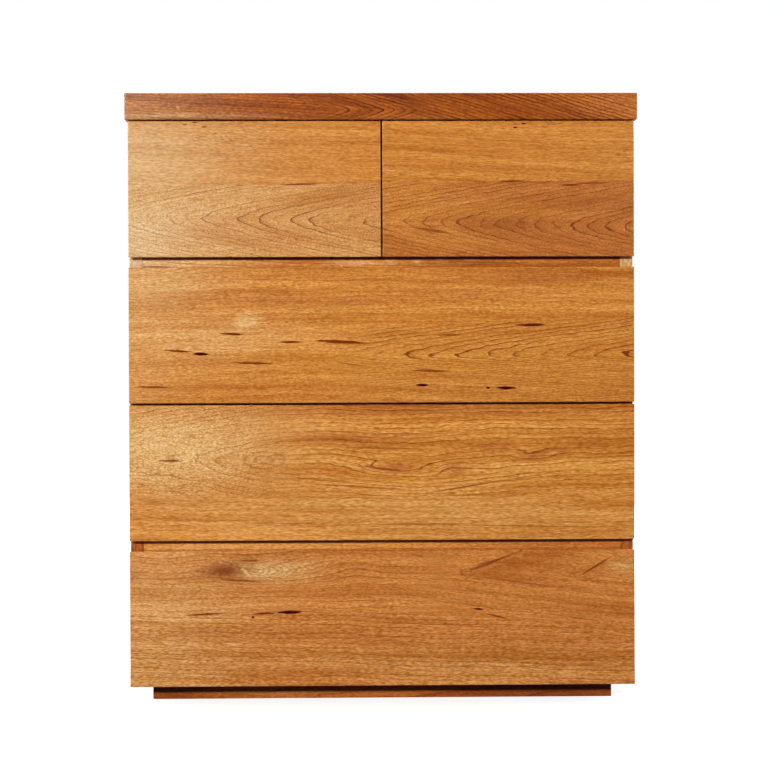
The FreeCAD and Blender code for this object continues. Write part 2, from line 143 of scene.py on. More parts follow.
def growth_rings():
    """Rings round a heart line that lies a little behind the face: arrow heads near it, lines further off."""
    tree, net, given, result = new_group(
        "Growth rings",
        [("Position", "vector"), ("Heart height", "value"), ("Heart depth", "value"), ("Lean", "value"),
         ("Skew", "value"), ("Line pitch", "value"), ("Tip pitch", "value"), ("Slope", "value"),
         ("Wander", "value"), ("Warp", "value"), ("Ripple", "value"), ("Lift", "value"), ("Seed", "value")],
        [("Ring", "value"), ("Across", "value")],
    )
    along, up, deep = net.split(given["Position"])
    seed = net.math("MULTIPLY", given["Seed"], RING_SEED_STEP)

    def waver(waves, detail):
        """Noise with its own waves per metre along the grain and across it."""
        lengthwise, crosswise = waves
        return net.noise(net.join(net.math("MULTIPLY", along, lengthwise),
                                  net.math("MULTIPLY", up, crosswise),
                                  net.math("MULTIPLY_ADD", deep, crosswise, seed)), detail)

    drift = net.noise(net.join(net.math("MULTIPLY", along, HEART_WAVES), seed, 0.0), 2.0)
    heart = net.total(given["Heart height"], net.product(given["Lean"], along),
                      net.product(drift, given["Wander"]))
    rise = net.math("SUBTRACT", up, heart)
    rise = net.math("ADD", rise, net.product(net.length(rise, TIP_ROUNDING), given["Skew"]))
    sink = net.math("SUBTRACT", deep, given["Heart depth"])
    slow = waver(SLOW_WAVES, 2.0)
    quick = waver(QUICK_WAVES, 1.0)
    jag = waver(JAG_WAVES, 1.0)
    stray = net.total(net.product(slow, given["Warp"]), net.product(quick, given["Ripple"]),
                      net.product(jag, net.product(given["Ripple"], JAG_SHARE)))
    ring = net.total(net.math("DIVIDE", net.length(rise, sink), given["Line pitch"]), stray, given["Lift"],
                     net.product(net.math("DIVIDE", along, given["Tip pitch"]), -1.0))
    bent = net.total(up, net.product(given["Lift"], given["Line pitch"], FIBRE_FOLLOW),
                     net.product(net.product(given["Slope"], along), -1.0), net.product(slow, FIBRE_SWAY),
                     net.product(quick, net.product(given["Ripple"], FIBRE_RIPPLE)))
    net.put(ring, result.inputs["Ring"])
    net.put(bent, result.inputs["Across"])
    return tree


# The marks of the timber: their length along the grain and their width across it, in metres.
BREAK_SIZE = (0.1, 0.012)
BAND_SIZE = (0.8, 0.02)
STREAK_SIZE = (0.3, 0.009)
FIBRE_SIZE = (0.03, 0.0028)
PORE_SIZE = (0.01, 0.0024)
PORE_FIELD_SIZE = (0.12, 0.05)
FLECK_WIDTH = 0.0024
# How strongly the marks show in the colour, and the depth of colour without them.
BAND_SHARE = 1.7
STREAK_SHARE = 1.3
FIBRE_SHARE = 0.32
PORE_SHARE = 0.5
MIDDLE_DEPTH = 0.45
# Steps of a ring's dark line through its year: from, to, and the darkness at each.
SLOW_DARKENING = (0.1, 0.9, 0.0, 0.15)
QUICK_DARKENING = (0.97, 0.0, 0.85)
FRESH_START = (0.98, 1.0, 1.0, 0.0)
WEAKEST_LINE = 0.35
# Steps of the noise that breaks the lines, marks the fibres and the pores, and gathers the pores in fields.
BREAK_STEP = (-0.2, 0.12, 0.5, 1.0)
FIBRE_STEP = (-0.1, 0.24)
PORE_STEP = (0.05, 0.2)
PORE_FIELD_STEP = (-0.2, 0.25, 0.3, 1.0)
# How much a fleck lightens or darkens the red, green and blue of the timber, and a fleck's largest value.
FLECK_TINT = (0.75, 1.1, 2.4)
FLECK_LIMIT = 0.25
# The roughness of the oil, and what a streak and a pore add to it.
OIL_ROUGHNESS = 0.23
STREAK_ROUGHNESS = 0.1
PORE_ROUGHNESS = 0.15
# How far the fibres and the lines stand up and the pores sink, as shares of the grain's height.
FIBRE_RISE = 0.5
LINE_RISE = 0.2
PORE_SINK = -0.6
# How far one step of a seed moves the noise of the marks, and how far a mark leans into the board.
TIMBER_SEED_STEP = 3.7
MARK_LEAN = 0.3


def timber():
    """The colour, sheen and surface of oiled timber along its rings and fibres."""
    tree, net, given, result = new_group(
        "Timber",
        [("Position", "vector"), ("Ring", "value"), ("Across", "value"), ("Line pitch", "value"),
         ("Pale", "colour"), ("Deep", "colour"), ("Line", "colour"), ("Lines", "value"), ("Edge", "value"),
         ("Bands", "value"), ("Pores", "value"), ("Flecks", "value"), ("Fleck length", "value"),
         ("Seed", "value")],
        [("Colour", "colour"), ("Roughness", "value"), ("Height", "value")],
    )
    seed = net.math("MULTIPLY", given["Seed"], TIMBER_SEED_STEP)
    along, up, deep = net.split(given["Position"])
    side = net.math("MULTIPLY_ADD", up, MARK_LEAN, deep)
    ringed = net.product(given["Ring"], given["Line pitch"])
    across = given["Across"]

    def grain(across, size, detail, shift, roughness=0.5):
        """Noise stretched along the grain, with marks of about a length and a width, at its own shift."""
        length, width = size
        inward = net.total(net.math("DIVIDE", side, width * 2), seed, shift)
        place = net.join(net.math("DIVIDE", along, length), net.math("DIVIDE", across, width), inward)
        return net.noise(place, detail, roughness)

    number = net.math("FLOOR", given["Ring"])
    part = net.math("FRACT", given["Ring"])
    luck = net.add("TexWhiteNoise", noise_dimensions="1D")
    net.put(net.math("ADD", number, seed), luck.inputs["W"])
    strength = net.math("MULTIPLY_ADD", luck.outputs[0], 1.0 - WEAKEST_LINE, WEAKEST_LINE)

    # A ring darkens slowly through the year and quickly at its end, and starts afresh.
    late = net.total(net.between(part, *SLOW_DARKENING),
                     net.between(part, given["Edge"], *QUICK_DARKENING))
    late = net.product(late, net.between(part, *FRESH_START))
    broken = net.between(grain(ringed, BREAK_SIZE, 2.0, 5.0), *BREAK_STEP)
    line = net.product(late, broken, strength, given["Lines"])

    band = grain(ringed, BAND_SIZE, 3.0, 11.0)
    streak = grain(across, STREAK_SIZE, 5.0, 23.0, 0.7)
    fibre = grain(across, FIBRE_SIZE, 3.0, 31.0, 0.6)
    shade = net.total(net.product(band, BAND_SHARE), net.product(streak, STREAK_SHARE))
    depth = net.math("MULTIPLY_ADD", shade, given["Bands"], MIDDLE_DEPTH, clamp=True)
    colour = net.mix(depth, given["Pale"], given["Deep"])
    colour = net.mix(net.math("MINIMUM", line, 1.0), colour, given["Line"])
    colour = net.mix(net.between(fibre, *FIBRE_STEP, 0.0, FIBRE_SHARE), colour, given["Line"])

    dash = grain(across, PORE_SIZE, 1.0, 43.0)
    field = net.between(grain(across, PORE_FIELD_SIZE, 1.0, 57.0), *PORE_FIELD_STEP)
    pore = net.product(net.between(dash, *PORE_STEP), field, given["Pores"])
    colour = net.mix(net.product(pore, PORE_SHARE), colour, given["Line"])

    fleck = grain(across, (given["Fleck length"], FLECK_WIDTH), 1.0, 71.0)
    fleck = net.math("MAXIMUM", net.math("MINIMUM", fleck, FLECK_LIMIT), -FLECK_LIMIT)
    fleck = net.product(fleck, given["Flecks"])
    shine = net.join(*(net.math("MULTIPLY_ADD", fleck, share, 1.0) for share in FLECK_TINT))
    colour = net.mix(1.0, colour, shine, "MULTIPLY")
    sheen = net.total(OIL_ROUGHNESS, net.product(streak, STREAK_ROUGHNESS),
                      net.product(pore, PORE_ROUGHNESS))
    relief = net.total(net.product(fibre, FIBRE_RISE), net.product(pore, PORE_SINK),
                       net.product(line, LINE_RISE))
    net.put(colour, result.inputs["Colour"])
    net.put(sheen, result.inputs["Roughness"])
    net.put(relief, result.inputs["Height"])
    return tree


# How far one step of a seed moves the joints, how far a board's heart lies off its middle, as a share of its
# width, and how long the log is that the boards come from, in metres.
JOINT_SEED_STEP = 0.173
OFF_MIDDLE = 1.2
LOG_LENGTH = 3.0


def glued_boards():
    """Cuts a panel into glued boards, and gives each its own place in the log and its own tone."""
    tree, net, given, result = new_group(
        "Glued boards",
        [("Position", "vector"), ("Board width", "value"), ("Seed", "value")],
        [("Shift", "value"), ("Local", "value"), ("Tone", "value")],
    )
    _, up, _ = net.split(given["Position"])
    place = net.math("DIVIDE", net.math("ADD", up, net.math("MULTIPLY", given["Seed"], JOINT_SEED_STEP)),
                     given["Board width"])
    number = net.math("FLOOR", place)
    luck = net.add("TexWhiteNoise", noise_dimensions="2D")
    net.put(net.join(number, given["Seed"], 0.0), luck.inputs["Vector"])
    first, second, third = net.split(luck.outputs["Color"])
    middle = net.math("SUBTRACT", net.math("FRACT", place), 0.5)
    offset = net.math("MULTIPLY", net.math("SUBTRACT", first, 0.5), OFF_MIDDLE)
    local = net.math("MULTIPLY", net.math("ADD", middle, offset), given["Board width"])
    net.put(net.math("MULTIPLY", second, LOG_LENGTH), result.inputs["Shift"])
    net.put(local, result.inputs["Local"])
    net.put(third, result.inputs["Tone"])
    return tree


# The ragged edges of a gum streak, a soft place and a knot, in waves per metre along the grain and across.
GUM_WAVES = (60.0, 200.0)
SOFT_WAVES = (18.0, 60.0)
KNOT_WAVES = (40.0, 90.0)
# How far a streak's edge and a knot's rings stray, as shares of their size.
GUM_WOBBLE = 0.9
KNOT_WOBBLE = 0.17
# A streak's reach along the grain and across it, as shares of its length and thickness, and how it fades.
GUM_REACH = (0.6, 0.7)
GUM_FADE = (0.4, 1.15, 1.0, 0.0)
# How a knot's ring darkens and ends, and how the knot fades at its edge.
KNOT_RING = (0.45, 0.88)
KNOT_RING_END = (0.88, 1.0, 1.0, 0.0)
KNOT_FADE = (0.6, 1.1, 1.0, 0.0)


def edge_noise(net, place, waves, detail):
    """Noise that makes an edge ragged."""
    along, up, deep = place
    lengthwise, crosswise = waves
    spread = net.join(net.math("MULTIPLY", along, lengthwise), net.math("MULTIPLY", up, crosswise), deep)
    return net.noise(spread, detail)


def gum_streak():
    """A dark lens of gum that lies along the grain."""
    tree, net, given, result = new_group(
        "Gum streak",
        [("Position", "vector"), ("Along", "value"), ("Up", "value"), ("Length", "value"),
         ("Thickness", "value"), ("Slope", "value"), ("Depth", "value")],
        [("Mask", "value")],
    )
    along, up, deep = net.split(given["Position"])
    far = net.math("SUBTRACT", along, given["Along"])
    near = net.math("SUBTRACT", net.math("SUBTRACT", up, given["Up"]),
                    net.math("MULTIPLY", far, given["Slope"]))
    wobble = edge_noise(net, (along, up, deep), GUM_WAVES, 2.0)
    lengthwise, crosswise = GUM_REACH
    stretch = net.math("DIVIDE", far, net.math("MULTIPLY", given["Length"], lengthwise))
    swell = net.math("DIVIDE", near, net.math("MULTIPLY", given["Thickness"], crosswise))
    swell = net.math("ABSOLUTE", net.math("MULTIPLY_ADD", wobble, GUM_WOBBLE, swell))
    gap = net.math("MULTIPLY_ADD", stretch, stretch, swell)
    net.put(net.math("MULTIPLY", net.between(gap, *GUM_FADE), given["Depth"]), result.inputs["Mask"])
    return tree


def swelling():
    """A soft oval place on the face, for a knot's push on the grain or for a change of tone."""
    tree, net, given, result = new_group(
        "Swelling",
        [("Position", "vector"), ("Along", "value"), ("Up", "value"), ("Half length", "value"),
         ("Half height", "value"), ("Ragged", "value")],
        [("Mask", "value")],
    )
    along, up, deep = net.split(given["Position"])
    rough = net.product(edge_noise(net, (along, up, deep), SOFT_WAVES, 2.0), given["Ragged"])
    far = net.math("DIVIDE", net.math("SUBTRACT", along, given["Along"]), given["Half length"])
    near = net.math("DIVIDE", net.math("SUBTRACT", up, given["Up"]), given["Half height"])
    reach = net.math("ADD", net.length(far, near), rough)
    net.put(net.math("EXPONENT", net.product(net.product(reach, reach), -1.0)), result.inputs["Mask"])
    return tree


def knot():
    """The rings of a branch knot or of an eye in the figure, closer together on its left by its draw."""
    tree, net, given, result = new_group(
        "Knot",
        [("Position", "vector"), ("Along", "value"), ("Up", "value"), ("Half length", "value"),
         ("Half height", "value"), ("Draw", "value"), ("Count", "value")],
        [("Rings", "value")],
    )
    along, up, deep = net.split(given["Position"])
    rough = edge_noise(net, (along, up, deep), KNOT_WAVES, 3.0)
    far = net.math("DIVIDE", net.math("SUBTRACT", along, given["Along"]), given["Half length"])
    far = net.math("ADD", net.math("MAXIMUM", far, 0.0),
                   net.product(net.math("MINIMUM", far, 0.0), given["Draw"]))
    near = net.math("DIVIDE", net.math("SUBTRACT", up, given["Up"]), given["Half height"])
    reach = net.math("MULTIPLY_ADD", rough, KNOT_WOBBLE, net.length(far, near))
    part = net.math("FRACT", net.product(reach, given["Count"]))
    ring = net.product(net.between(part, *KNOT_RING), net.between(part, *KNOT_RING_END))
    net.put(net.product(ring, net.between(reach, *KNOT_FADE)), result.inputs["Rings"])
    return tree


RINGS = growth_rings()
TIMBER = timber()
BOARDS = glued_boards()
GUM = gum_streak()
SWELLING = swelling()
KNOT = knot()

# Tones of the timber, as linear light: pale, deep and line. Then the single colours. Some patches of these
# tones are painted sheen and painted shadow, as noted where they are laid on.
GOLD = ((0.75, 0.345, 0.072, 1), (0.48, 0.143, 0.008, 1), (0.21, 0.046, 0.004, 1))
AMBER = ((0.72, 0.302, 0.060, 1), (0.43, 0.118, 0.008, 1), (0.17, 0.032, 0.003, 1))
RUSSET = ((0.58, 0.200, 0.045, 1), (0.35, 0.080, 0.008, 1), (0.13, 0.022, 0.002, 1))
ROSE = ((0.69, 0.275, 0.066, 1), (0.41, 0.106, 0.010, 1), (0.16, 0.028, 0.003, 1))
BLUSH = ((0.70, 0.355, 0.120, 1), (0.49, 0.178, 0.028, 1), (0.19, 0.046, 0.005, 1))
MAHOGANY = ((0.54, 0.135, 0.010, 1), (0.20, 0.028, 0.002, 1), (0.050, 0.006, 0.001, 1))
CHESTNUT = ((0.43, 0.115, 0.018, 1), (0.25, 0.044, 0.005, 1), (0.10, 0.016, 0.002, 1))
CREAM = ((0.62, 0.42, 0.22, 1), (0.50, 0.29, 0.125, 1), (0.27, 0.12, 0.04, 1))
HONEY = ((0.77, 0.49, 0.21, 1), (0.64, 0.32, 0.085, 1), (0.30, 0.10, 0.015, 1))
SAPWOOD = ((0.80, 0.56, 0.27, 1), (0.72, 0.42, 0.15, 1), (0.40, 0.16, 0.035, 1))
BIRCH = ((0.72, 0.54, 0.33, 1), (0.63, 0.43, 0.22, 1), (0.40, 0.20, 0.08, 1))
UMBER = ((0.30, 0.070, 0.015, 1), (0.18, 0.036, 0.006, 1), (0.08, 0.012, 0.002, 1))
STAIN = (0.20, 0.030, 0.003, 1)
FLASH = (0.80, 0.48, 0.17, 1)
GUM_COLOUR = (0.036, 0.002, 0.0005, 1)
KNOT_COLOUR = (0.13, 0.022, 0.002, 1)

# The order of the row axes along the grain, across the face and into the board.
GRAIN = {"x": (0, 2, 1), "x_flat": (0, 1, 2), "y": (1, 2, 0), "z": (2, 1, 0), "z_back": (2, 0, 1)}


def new_material(name):
    """A material with its net and its shader."""
    material = bpy.data.materials.new(name)
    material.use_nodes = True
    net = Net(material.node_tree)
    shader = material.node_tree.nodes["Principled BSDF"]
    return material, net, shader


def grain_position(net, grain, corner=(0.0, 0.0, 0.0)):
    """A piece's own coordinates from a corner, ordered along the grain, across it and into the board."""
    place = net.split(net.add("TexCoord").outputs["Object"])
    shifted = [net.math("SUBTRACT", place[axis], corner[axis]) for axis in range(3)]
    return net.join(*(shifted[axis] for axis in GRAIN[grain]))


# The oil's mirror strength, and the height of the grain in metres with its strength.
OIL_SPECULAR = 0.16
GRAIN_HEIGHT = 0.00012
GRAIN_STRENGTH = 0.4


def oil(net, shader, colour, roughness, height):
    """Joins an oiled timber surface to the material's shader."""
    bump = net.add("Bump")
    bump.inputs["Strength"].default_value = GRAIN_STRENGTH
    bump.inputs["Distance"].default_value = GRAIN_HEIGHT
    net.put(height, bump.inputs["Height"])
    net.put(colour, shader.inputs["Base Color"])
    net.put(roughness, shader.inputs["Roughness"])
    net.put(bump.outputs[0], shader.inputs["Normal"])
    shader.inputs["Specular IOR Level"].default_value = OIL_SPECULAR


# How ragged the edges of patches and of swellings are.
PATCH_RAGGED = 0.8
SWELLING_RAGGED = 0.25


def patch_shares(net, place, patches):
    """Each soft patch (along, up, half length, half height, tone, amount) as its share and its tone."""
    shares = []
    for along, up, half_length, half_height, tone, amount in patches:
        mask = net.use(SWELLING, position=place, along=along, up=up, half_length=half_length,
                       half_height=half_height, ragged=PATCH_RAGGED).outputs["Mask"]
        shares.append((net.product(mask, amount), tone))
    return shares


def toned(net, tone, shares):
    """A tone with patches of other tones in it."""
    for share, other in shares:
        tone = [net.mix(share, first, second) for first, second in zip(tone, other)]
    return tone


def marks(net, place, streaks):
    """The mask of streaks (along, up, length, thickness, slope, depth)."""
    mask = 0.0
    for along, up, length, thickness, slope, depth in streaks:
        mark = net.use(GUM, position=place, along=along, up=up, length=length, thickness=thickness,
                       slope=slope, depth=depth).outputs["Mask"]
        mask = net.math("MAXIMUM", mask, mark)
    return mask


# Where a gum streak's mask turns the timber red-brown and then nearly black.
STAIN_STEP = (0.0, 0.7)
BLACK_STEP = (0.5, 1.0)
# The roughness of gum, and how deep it sinks, as a share of the grain's height.
GUM_ROUGHNESS = 0.12
GUM_SINK = -0.5


def gummed(net, place, colour, roughness, height, streaks):
    """Lays glossy gum streaks over a surface: red-brown at the edge and nearly black in the deepest."""
    dark = marks(net, place, streaks)
    colour = net.mix(net.between(dark, *STAIN_STEP), colour, STAIN)
    colour = net.mix(net.between(dark, *BLACK_STEP), colour, GUM_COLOUR)
    roughness = net.blend(dark, roughness, GUM_ROUGHNESS)
    height = net.math("MULTIPLY_ADD", dark, GUM_SINK, height)
    return colour, roughness, height


# What a figure has where it says nothing else. The heart is (height, depth), and lengths are in metres.
PLAIN_FIGURE = {
    "tone": AMBER, "heart": (-0.6, 0.3), "lean": 0.0, "skew": 0.0, "line_pitch": 0.008, "tip_pitch": 0.5,
    "slope": 0.0, "wander": 0.02, "warp": 1.0, "ripple": 0.3, "phase": 0.0, "edge": 0.78, "lines": 0.5,
    "bands": 1.0, "pores": 0.8, "flecks": 1.3, "fleck_length": 0.007,
    "above": None, "right_of": None, "behind": None,
}
# What a figure gives to the rings, and what to the timber along them.
RING_KEYS = ("lean", "skew", "line_pitch", "tip_pitch", "slope", "wander", "warp", "ripple")
TIMBER_KEYS = ("line_pitch", "edge", "lines", "bands", "pores", "flecks", "fleck_length")


def cut_timber(net, place, figure, tone, lift, ring_seed, timber_seed):
    """Timber with the growth rings of a figure, at a place in the log."""
    heart_height, heart_depth = figure["heart"]
    pale, deep, line = tone
    rings = net.use(RINGS, position=place, heart_height=heart_height, heart_depth=heart_depth, lift=lift,
                    seed=ring_seed, **{key: figure[key] for key in RING_KEYS})
    return net.use(TIMBER, position=place, ring=rings.outputs["Ring"], across=rings.outputs["Across"],
                   pale=pale, deep=deep, line=line, seed=timber_seed,
                   **{key: figure[key] for key in TIMBER_KEYS})


# The darkest and the lightest of the glued boards, and how high a board's heart lies in it, in metres.
BOARD_SHADES = (0.86, 1.08)
BOARD_HEART = 0.01


def panel_timber(name, grain, tone, board_width, seed, line_pitch, tip_pitch, lines, bands=1.0,
                 heart_depth=0.0, streaks=(), patches=()):
    """Timber of glued boards, for the panels, rails and boxes."""
    material, net, shader = new_material(name)
    place = grain_position(net, grain)
    boards = net.use(BOARDS, position=place, board_width=board_width, seed=seed)
    along, _, deep = net.split(place)
    in_log = net.join(net.math("ADD", along, boards.outputs["Shift"]), boards.outputs["Local"], deep)
    figure = {**PLAIN_FIGURE, "heart": (BOARD_HEART, heart_depth), "line_pitch": line_pitch,
              "tip_pitch": tip_pitch, "lines": lines, "bands": bands}
    tone = toned(net, tone, patch_shares(net, place, patches))
    wood = cut_timber(net, in_log, figure, tone, 0.0, seed, seed)
    shade = net.between(boards.outputs["Tone"], 0.0, 1.0, *BOARD_SHADES)
    colour = net.mix(1.0, wood.outputs["Colour"], net.join(shade, shade, shade), "MULTIPLY")
    surface = gummed(net, place, colour, wood.outputs["Roughness"], wood.outputs["Height"], streaks)
    oil(net, shader, *surface)
    return material


# Half the width of a glued joint on the face and on the top, in metres.
FACE_JOINT = 0.0006
TOP_JOINT = 0.0004
# How far apart the seeds of one piece's figures are, for the rings and for the timber.
RING_SEED_GAP = 0.37
TIMBER_SEED_GAP = 0.61
# How deep under the face the oil turns dull, in metres.
FACE_SKIN = (0.0005, 0.003)


def figure_cover(net, place, figure):
    """Where a figure lies: above a joint (height, slope), right of (along, softness) or behind a depth."""
    along, up, deep = net.split(place)
    cover = 1.0
    if figure["above"]:
        level, slope = figure["above"]
        edge = net.math("MULTIPLY_ADD", along, -slope, up)
        cover = net.product(cover, net.between(edge, level - FACE_JOINT, level + FACE_JOINT))
    if figure["right_of"]:
        start, softness = figure["right_of"]
        cover = net.product(cover, net.between(along, start - softness, start + softness))
    if figure["behind"]:
        joint = figure["behind"]
        cover = net.product(cover, net.between(deep, joint - TOP_JOINT, joint + TOP_JOINT))
    return cover


def figured_timber(piece, figures, seed, swellings=(), patches=(), streaks=(), knots=(), flashes=(),
                   matt=0.0):
    """Timber of a drawer front or the top, measured along it, up from its lower edge and in from its face.

    Each figure lies over the ones before it. A swelling is (along, up, half length, half height, rings that
    it lifts), and a knot (along, up, half length, half height, draw, count of rings, strength). Matt is
    added to the roughness of the oil away from the face."""
    low = [min(corner[axis] for corner in nodes[piece].bound_box) for axis in range(3)]
    material, net, shader = new_material(piece.replace("_", " ") + " timber")
    place = grain_position(net, "x", (0.0, low[1], low[2]))
    lift = 0.0
    for along, up, half_length, half_height, rings in swellings:
        mask = net.use(SWELLING, position=place, along=along, up=up, half_length=half_length,
                       half_height=half_height, ragged=SWELLING_RAGGED).outputs["Mask"]
        lift = net.math("MULTIPLY_ADD", mask, rings, lift)
    shares = patch_shares(net, place, patches)
    colour = roughness = height = None
    for index, changes in enumerate(figures):
        figure = {**PLAIN_FIGURE, **changes}
        wood = cut_timber(net, place, figure, toned(net, figure["tone"], shares),
                          net.total(lift, figure["phase"]), seed + index * RING_SEED_GAP,
                          seed + index * TIMBER_SEED_GAP)
        if index == 0:
            colour, roughness, height = (wood.outputs[key] for key in ("Colour", "Roughness", "Height"))
            continue
        cover = figure_cover(net, place, figure)
        colour = net.mix(cover, colour, wood.outputs["Colour"])
        roughness = net.blend(cover, roughness, wood.outputs["Roughness"])
        height = net.blend(cover, height, wood.outputs["Height"])
    for along, up, half_length, half_height, draw, count, strength in knots:
        eye = net.use(KNOT, position=place, along=along, up=up, half_length=half_length,
                      half_height=half_height, draw=draw, count=count)
        colour = net.mix(net.product(eye.outputs["Rings"], strength), colour, KNOT_COLOUR)
    colour = net.mix(marks(net, place, flashes), colour, FLASH)
    _, _, inward = net.split(place)
    roughness = net.math("MULTIPLY_ADD", net.between(inward, *FACE_SKIN), matt, roughness)
    oil(net, shader, *gummed(net, place, colour, roughness, height, streaks))
    return material


